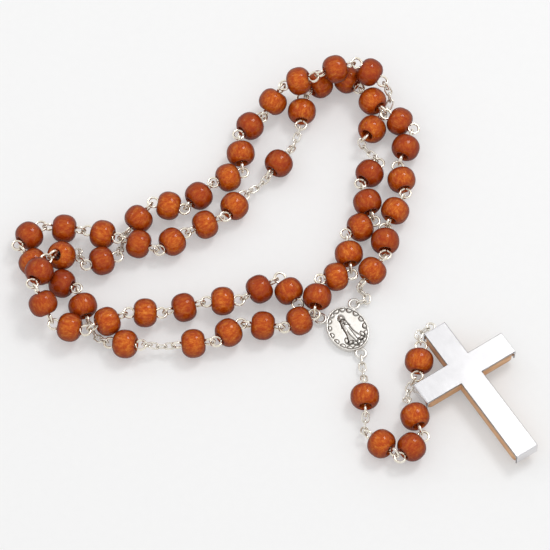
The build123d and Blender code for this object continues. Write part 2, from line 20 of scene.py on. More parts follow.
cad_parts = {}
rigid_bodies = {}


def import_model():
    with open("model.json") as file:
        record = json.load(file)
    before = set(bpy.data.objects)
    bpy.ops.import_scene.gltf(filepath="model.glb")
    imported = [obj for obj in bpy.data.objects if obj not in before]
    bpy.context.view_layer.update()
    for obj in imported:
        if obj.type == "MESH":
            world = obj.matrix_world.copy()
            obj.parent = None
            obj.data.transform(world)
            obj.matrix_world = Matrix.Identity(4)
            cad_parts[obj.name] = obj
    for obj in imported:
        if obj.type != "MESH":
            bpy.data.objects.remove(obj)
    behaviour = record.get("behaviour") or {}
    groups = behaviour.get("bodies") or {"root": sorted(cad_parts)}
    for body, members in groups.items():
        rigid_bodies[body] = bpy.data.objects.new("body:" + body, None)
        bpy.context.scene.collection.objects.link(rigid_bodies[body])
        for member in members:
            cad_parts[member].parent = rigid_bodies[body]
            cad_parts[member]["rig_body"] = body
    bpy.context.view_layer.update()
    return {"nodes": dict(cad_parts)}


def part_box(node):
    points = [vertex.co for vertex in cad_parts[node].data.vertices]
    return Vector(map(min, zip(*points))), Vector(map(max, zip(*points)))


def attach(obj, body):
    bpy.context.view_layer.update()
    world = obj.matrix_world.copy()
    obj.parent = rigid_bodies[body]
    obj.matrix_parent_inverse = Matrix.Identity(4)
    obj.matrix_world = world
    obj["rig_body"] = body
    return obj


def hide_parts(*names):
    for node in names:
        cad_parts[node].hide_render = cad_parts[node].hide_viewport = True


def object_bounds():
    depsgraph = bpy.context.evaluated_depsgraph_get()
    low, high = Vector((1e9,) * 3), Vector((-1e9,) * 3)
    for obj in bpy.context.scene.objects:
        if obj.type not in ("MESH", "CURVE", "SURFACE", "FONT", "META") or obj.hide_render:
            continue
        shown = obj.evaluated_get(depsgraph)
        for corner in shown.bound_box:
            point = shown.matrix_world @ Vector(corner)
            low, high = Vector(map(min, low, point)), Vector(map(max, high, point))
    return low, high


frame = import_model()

nodes = frame["nodes"]
mm = 0.001

# %% [markdown]
# ## Three small helpers for finishes
#
# A colour is written the way a paint chart writes it, and the shader wants it in
# linear light, so one function turns the first into the second. Another adds a node
# and fills its inputs, either with a number or with a wire from another node, so
# each finish below reads like a recipe; the third starts a new material. A noise
# node's Scale is one over the size of its patches in metres. In a Mix node for
# colours, input 0 is the share, 6 and 7 are the two colours, and output 2 is the
# result.

# %% Colour and node helpers
def colour(written):
    """#RRGGBB as linear light with full opacity."""
    parts = [int(written[k:k + 2], 16) / 255 for k in (1, 3, 5)]
    return (*(c / 12.92 if c <= 0.04045 else ((c + 0.055) / 1.055) ** 2.4 for c in parts), 1)


def add(tree, kind, inputs={}, stops=(), **settings):
    """A new node of that kind: settings and ramp stops set, inputs filled or wired."""
    made = tree.nodes.new("ShaderNode" + kind)
    for name, value in settings.items():
        setattr(made, name, value)
    for k, (place, shade) in enumerate(stops):
        stop = made.color_ramp.elements[k] if k < 2 else made.color_ramp.elements.new(place)
        stop.position = place
        stop.color = colour(shade)
    for name, value in inputs.items():
        if isinstance(value, bpy.types.NodeSocket):
            tree.links.new(value, made.inputs[name])
        else:
            made.inputs[name].default_value = value
    return made


grain_roughness = 0.55    # how strongly the small patches of a noise show


def finish(name):
    """An empty node material: its tree, its shader and the material itself."""
    material = bpy.data.materials.new(name)
    material.use_nodes = True
    tree = material.node_tree
    return tree, tree.nodes["Principled BSDF"], material


print("helpers ready; mid grey in linear light is", round(colour("#808080")[0], 3))

# %% [markdown]
# ## Lacquered bead wood
#
# The beads are small turned balls of a pale, close-grained wood, dyed reddish orange and dipped in clear
# lacquer. Dye sinks in unevenly, so the colour is a fine mottle of tan and red-brown, drawn out along the
# grain, and the lacquer on top is what shines. Each bead carries its own grain coordinates in metres, with X
# along its bore, so the mottle follows the bead however it lies. Towards its edge, as the camera sees it, the
# colour is painted darker and redder: painted shade round the rim of each bead.

# %% Bead finish
tree, shader, bead_finish = finish("Dyed wood, clear gloss lacquer")
grain = add(tree, "Attribute", attribute_name="grain").outputs["Vector"]
drawn = add(tree, "Mapping", {"Vector": grain, "Scale": (0.5, 1, 1)}).outputs["Vector"]
mottle = add(tree, "TexNoise", {         # the dye's blotches, under a millimetre
    "Vector": drawn, "Scale": 1 / (0.7 * mm), "Detail": 5, "Roughness": grain_roughness}).outputs["Fac"]
fibre = add(tree, "TexNoise", {          # pores and fibres, a third of that
    "Vector": drawn, "Scale": 1 / (0.22 * mm), "Detail": 3, "Roughness": grain_roughness}).outputs["Fac"]
faint_fibre = add(tree, "Math", {0: fibre, 1: 0.45}, operation="MULTIPLY").outputs[0]
tone = add(tree, "MapRange", {
    "Value": add(tree, "Math", {0: mottle, 1: faint_fibre}).outputs[0], "From Min": 0.42, "From Max": 1.04,
}).outputs["Result"]
wood = add(tree, "ValToRGB", {"Fac": tone}, stops=[
    (0.0, "#A83608"), (1.0, "#F09844"), (0.4, "#C2500C"), (0.7, "#DC7420")]).outputs["Color"]
tint = add(tree, "Attribute", attribute_name="tint").outputs["Fac"]
dyed = add(tree, "Math", {0: tint, 1: 0.75}, operation="MULTIPLY").outputs[0]
wood = add(tree, "Mix", {0: dyed, 6: wood, 7: colour("#9A300A")}, data_type="RGBA").outputs[2]
# painted shade: towards the edge, as the camera sees it, the colour is darkened to a deep red-brown
edge = add(tree, "LayerWeight", {"Blend": 0.58}).outputs["Facing"]
wood = add(tree, "Mix", {0: edge, 6: wood, 7: colour("#520C00")}, data_type="RGBA").outputs[2]
tree.links.new(wood, shader.inputs["Base Color"])
bump = add(tree, "Bump", {"Height": tone, "Strength": 0.25, "Distance": 0.03 * mm})
tree.links.new(bump.outputs["Normal"], shader.inputs["Normal"])
for name, value in {"Roughness": 0.6, "Specular IOR Level": 0.05, "IOR": 1.5,
                    "Coat Weight": 0.4, "Coat Roughness": 0.03, "Coat IOR": 1.5}.items():
    shader.inputs[name].default_value = value
print(bead_finish.name)

# %% [markdown]
# ## Silver finishes
#
# The wire is steel with a bright silver plate that has yellowed a little. The eye
# pins and the chain are the same metal in two gauges. Plated wire is nearly a
# mirror, so its colour is mostly what stands round it; what is its own is a faint
# warm tarnish in patches and the slightly rougher skin where the wire was drawn.

# %% Wire finishes
def silver(name, bright, dull, patch, smooth, rough, painted_shade_strength=0.0, depth=0.4 * mm):
    """Bright metal with dull patches, and painted shade: darker brown-grey where other surfaces come close.
    """
    tree, shader, material = finish(name)
    place = add(tree, "TexCoord").outputs["Object"]
    cloud = add(tree, "TexNoise", {
        "Vector": place, "Scale": 1 / patch, "Detail": 4, "Roughness": grain_roughness}).outputs["Fac"]
    skin = add(tree, "ValToRGB", {"Fac": cloud}, stops=[(0.35, bright), (0.75, dull)]).outputs["Color"]
    # painted shade: the colour turns dark brown-grey where other surfaces come within depth
    open_air = add(tree, "AmbientOcclusion", {"Distance": depth}, samples=8).outputs["AO"]
    painted_gap_shade = add(tree, "MapRange", {
        "Value": open_air, "From Min": 0.2, "From Max": 0.85, "To Min": painted_shade_strength, "To Max": 0.0,
    }).outputs["Result"]
    skin = add(tree, "Mix", {0: painted_gap_shade, 6: skin, 7: colour("#4A4038")}, data_type="RGBA").outputs[2]
    tree.links.new(skin, shader.inputs["Base Color"])
    rub = add(tree, "MapRange", {"Value": cloud, "To Min": smooth, "To Max": rough})
    tree.links.new(rub.outputs["Result"], shader.inputs["Roughness"])
    fine = add(tree, "TexNoise", {
        "Vector": place, "Scale": 1 / (0.12 * mm), "Detail": 2, "Roughness": grain_roughness}).outputs["Fac"]
    bump = add(tree, "Bump", {"Height": fine, "Strength": 0.15, "Distance": 0.01 * mm})
    tree.links.new(bump.outputs["Normal"], shader.inputs["Normal"])
    shader.inputs["Metallic"].default_value = 1
    return material


# the last number in each is how dark the painted shade turns where parts come close
pin_finish = silver("Silver-plated steel wire, 0.6 mm", "#FBF6EA", "#E2D8C4", 1.6 * mm, 0.14, 0.32, 0.5)
chain_finish = silver("Silver-plated steel wire, 0.45 mm", "#F6F2E9", "#DAD3C6", 1.2 * mm, 0.14, 0.34, 0.5)
cast_finish = silver("Cast white metal, silvered", "#E4E2DE", "#BDB8B0", 0.8 * mm, 0.24, 0.45, 0.8)
print("wire and cast finishes made")

# %% [markdown]
# ## Finding each bead in the frame
#
# A group of ten beads is one node, so its beads are found by walking along the
# edges from corner to corner until no corner of that solid is left. A bead is the
# same on both sides of its middle, so the middle of its box is its own middle. The
# corners nearest to that middle lie round the bore, and the long direction of
# those is the way the bore runs.

# %% Measure the beads
def solids_of(name):
    """The corners of each separate solid in one node."""
    shape = bmesh.new()
    shape.from_mesh(nodes[name].data)
    bmesh.ops.remove_doubles(shape, verts=shape.verts, dist=0.0005 * mm)
    waiting, groups = set(shape.verts), []
    for first in list(shape.verts):
        if first not in waiting:
            continue
        waiting.discard(first)
        group = [first]
        for corner in group:
            for side in corner.link_edges:
                other = side.other_vert(corner)
                if other in waiting:
                    waiting.discard(other)
                    group.append(other)
        groups.append(np.array([corner.co[:] for corner in group]))
    shape.free()
    return groups


def middle_and_bore(corners):
    """A bead's middle and the direction of its bore."""
    middle = (corners.min(0) + corners.max(0)) / 2
    away = np.linalg.norm(corners - middle, axis=1)
    round_bore = corners[away < away.min() + 0.1 * mm] - middle
    return Vector(middle), Vector(np.linalg.svd(round_bore, full_matrices=False)[2][0])


bead_nodes = sorted(name for name in nodes if "bead" in name)
beads = {name: [middle_and_bore(corners) for corners in solids_of(name)] for name in bead_nodes}
print({name: len(found) for name, found in beads.items()})

# %% [markdown]
# ## From a mesh to a piece
#
# Everything that is made below starts as a bmesh, which is Blender's workbench for meshes. Two steps turn it
# into a piece of the rosary. It becomes an object with a finish, and it is tied to the node that it stands
# for, so that it moves with the same body and the node is hidden.

# %% Piece helpers
def piece(name, shape, material, smooth=True):
    """The mesh as an object in the scene, with its finish."""
    mesh = bpy.data.meshes.new(name)
    shape.to_mesh(mesh)
    shape.free()
    made = bpy.data.objects.new(name, mesh)
    bpy.context.scene.collection.objects.link(made)
    made.data.materials.append(material)
    made.data.shade_smooth() if smooth else made.data.shade_flat()
    return made


def stand_for(made, node):
    """The piece moves with the node's body and hides the node."""
    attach(made, nodes[node]["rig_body"])
    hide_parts(node)


print("piece helpers ready")

# %% [markdown]
# ## The outline of a bead
#
# A bead comes off the lathe as a ball that is a little shorter than it is wide,
# with full shoulders, and its bore is countersunk at both ends. One half of its
# outline is enough, from the bore over the shoulder and back. The shoulder is a
# stretched circle of a higher power than two, which makes it fuller.

# %% Draw the outline
half_length, radius, bore = 3.1 * mm, 3.5 * mm, 1.25 * mm
mouth, end_face, fullness = 1.55 * mm, 1.85 * mm, 2.35


def bead_outline():
    """Places along and out from the bore, from one end round to the other."""
    start = math.asin((end_face / radius) ** (fullness / 2))
    shoulder = []
    for k in range(17):
        turn = start + (math.pi - 2 * start) * k / 16
        along = math.copysign(abs(math.cos(turn)) ** (2 / fullness), math.cos(turn))
        shoulder.append((half_length * along, radius * math.sin(turn) ** (2 / fullness)))
    end = shoulder[0][0]
    inside = [(end * 0.4, bore), (end - 0.42 * mm, bore), (end - 0.06 * mm, mouth - 0.05 * mm),
              (end + 0.01 * mm, mouth + 0.06 * mm)]
    return inside + shoulder + [(-along, out) for along, out in reversed(inside)]


print("points in the outline:", len(bead_outline()))

# %% [markdown]
# ## Turning the beads
#
# The outline is spun round the bore. No two beads come out quite alike: each is
# turned its own way round its bore, and comes out up to 2.5 % shorter and 1.5 %
# narrower than the full size. Its grain begins at a place of its own, and it took
# up more or less of the dye.

# %% Spin the beads
chance = np.random.default_rng(7)


def turned_beads(name, places):
    """One mesh with a turned bead at every place, each with its own grain."""
    shape = bmesh.new()
    grain = shape.verts.layers.float_vector.new("grain")
    tint = shape.verts.layers.float.new("tint")
    for middle, way in places:
        before = set(shape.verts)
        line = [shape.verts.new((along, out, 0)) for along, out in bead_outline()]
        sides = [shape.edges.new(pair) for pair in zip(line, line[1:])]
        sides.append(shape.edges.new((line[-1], line[0])))
        bmesh.ops.spin(shape, geom=line + sides, cent=(0, 0, 0), axis=(1, 0, 0),
                       angle=2 * math.pi, steps=44, use_merge=True)
        fresh = [corner for corner in shape.verts if corner not in before]
        offset = Vector(chance.uniform(-1, 1, 3))
        depth = float(chance.uniform(0, 1)) ** 2
        for corner in fresh:
            corner[grain] = corner.co + offset
            corner[tint] = depth
        length = chance.uniform(0.975, 1.0, 1)
        width = float(chance.uniform(0.985, 1.0))
        size = Matrix.Diagonal((*length, width, width, 1))
        roll = Matrix.Rotation(float(chance.uniform(0, 2 * math.pi)), 4, "X")
        lie = way.to_track_quat("X", "Z").to_matrix().to_4x4()
        bmesh.ops.transform(shape, matrix=Matrix.Translation(middle) @ lie @ roll @ size, verts=fresh)
    bmesh.ops.recalc_face_normals(shape, faces=shape.faces)
    return piece(name, shape, bead_finish)


for name in bead_nodes:
    made = turned_beads(name.replace("beads", "turned").replace("bead", "turned"), beads[name])
    stand_for(made, name)
print("beads turned:", sum(len(found) for found in beads.values()))

# %% [markdown]
# ## Wire parts keep the frame's shapes
#
# The eye pins and links are plain round wire, bent round, which the frame already
# has exactly. They only need their metal.

# %% Finish the wire
def refinish(node, material):
    """The node's own mesh with another finish."""
    nodes[node].data.materials.clear()
    nodes[node].data.materials.append(material)


for name in nodes:
    if "pin" in name:
        refinish(name, pin_finish)
    elif "chain" in name or "link" in name or name == "cross_eyelet":
        refinish(name, chain_finish)
print("wire refinished")

# %% [markdown]
# ## The medal's place
#
# The medal and the cross lie turned on the table, so each is measured in its own
# directions: its corners are turned back, and the box round them then gives its
# middle and its real width and length.

# %% Measure the medal and the cross
def lie_of(name, turn):
    """The matrix that lays a piece where the node lies, and its own box, upright."""
    back = Matrix.Rotation(-math.radians(turn), 3, "Z")
    corners = np.array([(back @ corner.co)[:] for corner in nodes[name].data.vertices])
    return back.inverted().to_4x4(), corners.min(0), corners.max(0)


medal_lie, cross_lie = 26, 33               # degrees that they lie turned on the table
medal_turn, medal_low, medal_high = lie_of("medal", medal_lie)
cross_turn, plate_low, plate_high = lie_of("cross_plate", cross_lie)
print("medal", (medal_high - medal_low) / mm, "plate", (plate_high - plate_low) / mm)

# %% [markdown]
# ## The medal's relief
#
# A medal like this is struck or cast with low relief: a raised border set with
# half-round drops, and inside it a plain bright field with a robed figure standing
# on leaves. The whole front is one height for every place on it, which is easier
# to shape with sums than with separate solids. Each form is a soft-edged patch of
# height, and grooves are cut along its outline, so that its edge is crisp and has a
# place for dark patina to stay in.

# %% Patches of height
half_width, half_height = 5.0, 6.2          # the oval, in millimetres
medal_thickness = 1.4                       # from the back to the field
rim = 0.60                                  # the plain rim outside the drops
drops = 17


def step(low, high, value):
    """0 under low, 1 over high and a smooth rise between."""
    t = np.clip((value - low) / (high - low), 0, 1)
    return t * t * (3 - 2 * t)


def oval(x, y, at_x, at_y, wide, tall, lean=0.0):
    """1 at the middle of an oval patch, 0 on its edge and less outside."""
    c, s = math.cos(lean), math.sin(lean)
    u, v = (x - at_x) * c + (y - at_y) * s, (y - at_y) * c - (x - at_x) * s
    return 1 - np.hypot(u / wide, v / tall)


def dome(depth, edge):
    """A patch's height, from a rounded edge up to a level top."""
    t = np.clip(depth / edge, 0, 1)
    return np.sqrt(np.clip(t * (2 - t), 0, 1))


print("a dome halfway up its edge has", round(float(dome(0.5, 1.0)), 2), "of its height")

# %% [markdown]
# ## The medal's front
#
# The border comes first, then its drops, then the figure from the robe up, and last
# the leaves. Each adds to the height or cuts into it, and writes down how hollow a
# place is, which the finish reads later.

# %% Shape the front
def relief(x, y):
    """How high the medal's front stands over its field, in millimetres, and how hollow it is."""
    inward = (1 - np.hypot(x / half_width, y / half_height)) * 5.6
    high = 0.34 * step(0.74, 0.58, inward) - 0.30 * step(0.20, 0.0, inward)
    hollow = np.zeros_like(high)

    def engrave(depth, width, cut, where=1.0, dark=0.62):
        """A dark groove along the edge of a patch."""
        nonlocal high, hollow
        groove = np.exp(-((depth + width * 0.4) / width) ** 2) * where
        high = high - cut * groove
        hollow = np.maximum(hollow, groove * dark)

    ring_x, ring_y = half_width - rim, half_height - rim
    for k in range(drops):
        t = 2 * math.pi * (k + 0.5) / drops
        at_x, at_y = ring_x * math.cos(t), ring_y * math.sin(t)
        lean = math.atan2(ring_y * math.cos(t), -ring_x * math.sin(t))
        c, s = math.cos(lean), math.sin(lean)
        along, within = (x - at_x) * c + (y - at_y) * s, (y - at_y) * c - (x - at_x) * s
        # a half oval that hangs from the border by its flat side
        curve = 1 - np.hypot(along / 0.70, within / 0.76)
        hanging = step(-0.10, 0.04, within)
        high = np.maximum(high, 0.34 * dome(curve, 0.55) * hanging)
        engrave(curve, 0.17, 0.16, hanging, dark=0.9)
        engrave(within * 1.6, 0.19, 0.12, step(-0.05, 0.20, curve), dark=0.95)
    # the figure, drawn small and enlarged to fill the field
    x, y = x / 1.14, (y + 0.2) / 1.14
    # the robe: narrow shoulders, a waist, then a wide hem that sweeps to one side
    share = np.clip((2.5 - y) / 5.8, 0, 1)
    half = 0.52 + 0.10 * np.sin(share * 8) + 1.25 * share ** 1.8
    middle = 0.75 * share ** 2 - 0.15
    across = (x - middle) / half
    robe = np.minimum(1 - np.abs(across), np.minimum((2.5 - y) / 0.6, (y + 3.3) / 0.5))
    inside = step(0.0, 0.08, robe)
    high = high + 0.30 * dome(robe, 0.9) * inside
    engrave(robe * half / 0.9, 0.14, 0.12, step(-0.7, -0.3, robe), dark=0.95)
    for fold, reach, from_share in ((-0.30, 0.09, 0.35), (0.38, 0.09, 0.25)):
        crease = np.abs(across - fold - 0.16 * np.sin(y * 1.1 + fold * 4)) * half
        engrave(crease - 0.06, reach, 0.12, inside * step(from_share, from_share + 0.2, share), dark=0.8)
    # arms folded to the chest, then the head inside its veil, with a plain oval face
    for at_x, at_y, wide, tall, lean, rise in (
        (-0.50, 1.35, 0.60, 0.24, 0.6, 0.18), (0.26, 1.35, 0.60, 0.24, -0.6, 0.18),
        (-0.12, 1.66, 0.20, 0.34, 0, 0.2), (-0.2, 3.02, 0.60, 0.74, 0.1, 0.42),
    ):
        patch = oval(x, y, at_x, at_y, wide, tall, lean)
        high = high + rise * dome(patch, 0.8)
        engrave(patch, 0.24, 0.12, step(-0.8, -0.3, patch))
    face = oval(x, y, -0.24, 2.98, 0.33, 0.46, 0.1)
    high = high + 0.14 * dome(face, 0.8)
    engrave(face, 0.3, 0.06, 0.6 * step(-0.8, -0.3, face))
    # leaves round the hem
    for k in range(6):
        turn = math.radians(208 + 25 * k)
        at_x, at_y = 2.1 * math.cos(turn) + 0.4, 2.4 * math.sin(turn) - 1.1
        patch = oval(x, y, at_x, at_y, 0.62, 0.36, turn + 0.9 * (-1) ** k)
        high = high + 0.24 * dome(patch, 0.8)
        engrave(patch, 0.24, 0.12, step(-0.9, -0.3, patch), dark=0.8)
    return high, hollow


print("robe stands", round(float(relief(np.array(0.0), np.array(0.0))[0]), 2), "mm over the field")

# %% [markdown]
# ## Casting the medal
#
# One flat grid becomes the medal's body. Its columns go round the oval and its rows
# go out from the middle over the front, down the edge and back under to the middle
# of the plain back; then the seam and the two middles are joined up. Grooves and
# outlines are written down as hollow, since that is where the dark patina of an
# antiqued medal stays when the high parts are buffed bright.

# %% Cast the body
def front_and_back(shape, columns=288, rows=120):
    """The oval body, with the share of hollow at each corner."""
    hollow = shape.verts.layers.float.new("hollow")
    made = bmesh.ops.create_grid(shape, x_segments=columns, y_segments=rows, size=0.5)["verts"]
    start = np.array([corner.co[:2] for corner in made]) + 0.5
    turn, along = 2 * math.pi * start[:, 0], start[:, 1]
    front, edge = 0.80, 0.90
    back_out = np.clip(1 - (along - edge) / (1 - edge), 0, 1)
    out = np.where(along < front, along / front, np.where(along < edge, 1, back_out))
    down = np.clip((along - front) / (edge - front), 0, 1)
    x, y = half_width * out * np.cos(turn), half_height * out * np.sin(turn)
    here, low = relief(x, y)
    top = (medal_thickness + here) * (1 - down)
    round_edge = 1 - 0.05 * np.clip(2 * down - 1, 0, 1) - 0.02 * (down > 0)
    for k, corner in enumerate(made):
        corner.co = Vector((x[k] * round_edge[k], y[k] * round_edge[k], top[k])) * mm
        corner[hollow] = float(low[k]) if along[k] <= front else 0.0
    bmesh.ops.remove_doubles(shape, verts=shape.verts, dist=0.004 * mm)


shape = bmesh.new()
front_and_back(shape)
print("corners in the medal's body:", len(shape.verts))

# %% [markdown]
# ## The medal's ears
#
# Two ears at the top hold the loop and one at the foot holds the pendant strand.
# Each is a thick ring, spun from a small oval section, with a short flat neck that
# runs into the border.

# %% Cast the ears
def cast_ring(shape, x, y, z):
    """An ear: a thick round-edged ring."""
    section = bmesh.ops.create_circle(shape, segments=14, radius=1)["verts"]
    upright = Matrix.Rotation(math.pi / 2, 4, "X")
    oval_section = Matrix.Diagonal((0.385 * mm, 0.30 * mm, 1, 1))
    out_to_ring = Matrix.Translation((1.19 * mm, 0, 0))
    bmesh.ops.transform(shape, verts=section, matrix=out_to_ring @ upright @ oval_section)
    sides = list({side for corner in section for side in corner.link_edges})
    before = set(shape.verts) - set(section)
    bmesh.ops.spin(shape, geom=section + sides, cent=(0, 0, 0), axis=(0, 0, 1),
                   angle=2 * math.pi, steps=44, use_merge=True)
    ring = [corner for corner in shape.verts if corner not in before]
    bmesh.ops.transform(shape, matrix=Matrix.Translation((x * mm, y * mm, z * mm)), verts=ring)


upper_ears, lower_ear = 5.5, -7.1           # their middles over the medal's own
ear_outer, ear_middle = 1.575, 1.04         # an ear's outer radius, and its height
neck_in = 1.62                              # from an ear's middle to its neck's
ears = [(-4.5, upper_ears), (4.5, upper_ears), (0.0, lower_ear)]
for x, y in ears:
    cast_ring(shape, x, y, ear_middle)
    neck = bmesh.ops.create_uvsphere(shape, u_segments=20, v_segments=10, radius=1)["verts"]
    inward = Vector((x, y)).normalized()
    root = Vector((x, y)) - inward * neck_in
    bmesh.ops.transform(shape, verts=neck, matrix=Matrix.Translation((root.x * mm, root.y * mm, 1.0 * mm))
                        @ Matrix.Diagonal((0.8 * mm, 0.8 * mm, 0.30 * mm, 1)))
middle_y = (medal_low[1] + medal_high[1]) / 2 / mm
own_low = lower_ear - ear_outer
own_high = max(upper_ears + ear_outer, half_height)
place = ((medal_low[0] + medal_high[0]) / 2, middle_y * mm - (own_low + own_high) / 2 * mm, medal_low[2])
bmesh.ops.transform(shape, matrix=medal_turn @ Matrix.Translation(place), verts=shape.verts)
bmesh.ops.recalc_face_normals(shape, faces=shape.faces)
print("medal triangles:", sum(len(face.verts) - 2 for face in shape.faces))

# %% [markdown]
# ## Antiqued medal metal
#
# The hollows written down above turn near black. What stands proud is buffed, so it is the brightest and the
# smoothest. Small parts that face each other, as the inner sides of the ears do, are darkened a little too:
# painted shade where surfaces come close.

# %% Medal finish
# 0.4 is how dark the painted shade turns where surfaces come within 0.3 mm
medal_finish = silver("Cast white metal, antiqued silver", "#E6E3DE", "#D2CEC7",
                      1.3 * mm, 0.26, 0.42, 0.4, 0.3 * mm)
tree, shader = medal_finish.node_tree, medal_finish.node_tree.nodes["Principled BSDF"]
buffed_with_gap_shade = shader.inputs["Base Color"].links[0].from_socket
hollow = add(tree, "Attribute", attribute_name="hollow").outputs["Fac"]
patchy = add(tree, "TexNoise", {
    "Vector": add(tree, "TexCoord").outputs["Object"], "Scale": 1 / (0.35 * mm), "Detail": 3,
    "Roughness": grain_roughness}).outputs["Fac"]
uneven = add(tree, "MapRange", {"Value": patchy, "To Min": 0.7, "To Max": 1.3}).outputs["Result"]
held = add(tree, "Math", {0: hollow, 1: uneven}, operation="MULTIPLY", use_clamp=True).outputs[0]
darkened = add(tree, "Mix", {0: held, 6: buffed_with_gap_shade, 7: colour("#33291F")}, data_type="RGBA").outputs[2]
tree.links.new(darkened, shader.inputs["Base Color"])
stand_for(piece("medal_cast", shape, medal_finish), "medal")
print(medal_finish.name)

# %% [markdown]
# ## The cross's plate
#
# The back plate is one cross-shaped sheet, 0.4 mm thick, whose four ends are bent down over the ends of the
# wood. Nine cells of a grid, less the four corners, give the flat; the end edges are drawn down for the tabs,
# the folds are rounded, and only then is the sheet given its thickness, as it is in a press. A last small
# bevel takes the sharpness off the cut edges, and its faces get a darker grey metal: painted shade that draws
# a thin grey line round the plate.

# %% Fold the plate
sheet = 0.4 * mm
arm = 3.0 * mm
end_x = (plate_high[0] - plate_low[0]) / 2
crossing_x = (plate_high[0] + plate_low[0]) / 2
top_y = plate_high[1]
foot_y = plate_low[1]
top_arm = 12.9 * mm                         # from the crossing to the top end
crossing_y = top_y - top_arm
print("the plate spans", 2 * end_x / mm, "by", (top_y - foot_y) / mm, "mm")


def flat_cross(columns, rows):
    """Nine cells between these columns and rows, less the four at the corners."""
    shape = bmesh.new()
    bmesh.ops.create_grid(shape, x_segments=3, y_segments=3, size=0.5)
    for corner in shape.verts:
        column, row = round((corner.co.x + 0.5) * 3), round((corner.co.y + 0.5) * 3)
        corner.co = Vector((columns[column], rows[row], 0))
    bmesh.ops.delete(shape, context="FACES", geom=[
        face for face in shape.faces if abs(face.calc_center_median().x) > arm
        and not -arm < face.calc_center_median().y < arm])
    return shape


def corners_in(geom):
    """Only the vertices among what an operator returned."""
    return [item for item in geom if isinstance(item, bmesh.types.BMVert)]


rows = [foot_y - crossing_y, -arm, arm, top_y - crossing_y]
shape = flat_cross([-end_x, -arm, arm, end_x], rows)
ends = [side for side in shape.edges if side.is_boundary and (
    all(abs(abs(corner.co.x) - end_x) < 1e-7 for corner in side.verts)
    or all(min(abs(corner.co.y - rows[0]), abs(corner.co.y - rows[3])) < 1e-7 for corner in side.verts))]
drawn_down = bmesh.ops.extrude_edge_only(shape, edges=ends)["geom"]
bmesh.ops.translate(shape, vec=(0, 0, -(plate_high[2] - plate_low[2])), verts=corners_in(drawn_down))
sharp = 1.2                                 # radians between two faces, about 70 degrees
folds = [side for side in shape.edges if not side.is_boundary and side.calc_face_angle(0) > sharp]
bmesh.ops.bevel(shape, geom=folds,
                offset=0.38 * mm, segments=5, profile=0.5, affect="EDGES", material=-1)
bmesh.ops.recalc_face_normals(shape, faces=shape.faces)
if max(shape.faces, key=lambda face: face.calc_area()).normal.z < 0:
    bmesh.ops.reverse_faces(shape, faces=shape.faces)
bmesh.ops.solidify(shape, geom=list(shape.faces), thickness=sheet)
top = max(corner.co.z for corner in shape.verts)
rims = [side for side in shape.edges if len(side.link_faces) == 2 and side.calc_face_angle(0) > sharp]
# the bevel's faces take the second material, the painted grey edge shade
bmesh.ops.bevel(shape, geom=rims, offset=0.15 * mm, segments=2, profile=0.5, affect="EDGES", material=1)
bmesh.ops.recalc_face_normals(shape, faces=shape.faces)
on_cross = cross_turn @ Matrix.Translation((crossing_x, crossing_y, plate_high[2] - top))
bmesh.ops.transform(shape, verts=shape.verts, matrix=on_cross)
highest = max(corner.co.z for corner in shape.verts)
print("plate corners:", len(shape.verts), "top at", round(highest / mm, 2), "mm")

# %% [markdown]
# ## Rolled sheet
#
# Nickel-silver sheet comes off the rolls bright, with hair-fine lines along it. The lines are the same noise
# drawn out forty times longer than it is wide. The cut edges get a darker grey metal of their own: painted
# shade, which draws a thin grey line round the plate.

# %% Plate finish
tree, shader, plate_finish = finish("Rolled nickel-silver sheet, bright")
place = add(tree, "TexCoord").outputs["Object"]
# turned back by the cross's turn, so that the lines run down its length
own_way = add(tree, "Mapping", {
    "Vector": place, "Rotation": (0, 0, -math.radians(cross_lie))}).outputs["Vector"]
drawn = add(tree, "Mapping", {"Vector": own_way, "Scale": (1, 0.025, 1)}).outputs["Vector"]
hair = add(tree, "TexNoise", {
    "Vector": drawn, "Scale": 1 / (0.08 * mm), "Detail": 3, "Roughness": grain_roughness}).outputs["Fac"]
cloud = add(tree, "TexNoise", {
    "Vector": own_way, "Scale": 1 / (4 * mm), "Detail": 3, "Roughness": grain_roughness}).outputs["Fac"]
flat = add(tree, "ValToRGB", {"Fac": cloud}, stops=[(0.3, "#E8E7E9"), (0.8, "#DCDBDD")]).outputs["Color"]
tree.links.new(flat, shader.inputs["Base Color"])
rub = add(tree, "MapRange", {"Value": hair, "From Min": 0.3, "From Max": 0.7, "To Min": 0.16, "To Max": 0.22})
tree.links.new(rub.outputs["Result"], shader.inputs["Roughness"])
bump = add(tree, "Bump", {"Height": hair, "Strength": 0.12, "Distance": 0.01 * mm})
tree.links.new(bump.outputs["Normal"], shader.inputs["Normal"])
shader.inputs["Metallic"].default_value = 1
folded = piece("cross_plate_folded", shape, plate_finish, smooth=False)
# painted shade: a darker grey metal for the bevelled edges, drawing a thin grey line round the plate
painted_edge_line_finish = silver("Nickel-silver sheet, painted grey edge shade", "#8E8C8D", "#6C6A6B", 0.8 * mm, 0.3, 0.5)
folded.data.materials.append(painted_edge_line_finish)
stand_for(folded, "cross_plate")
print(plate_finish.name, "and", painted_edge_line_finish.name)

# %% [markdown]
# ## The wooden cross
#
# The wood is cut to the same outline as the plate, a little shorter at each end so
# that the folded tabs fit over it. Its end corners were rounded on a sander, and
# since the tabs are bent square, a small dark gap is left inside each fold.

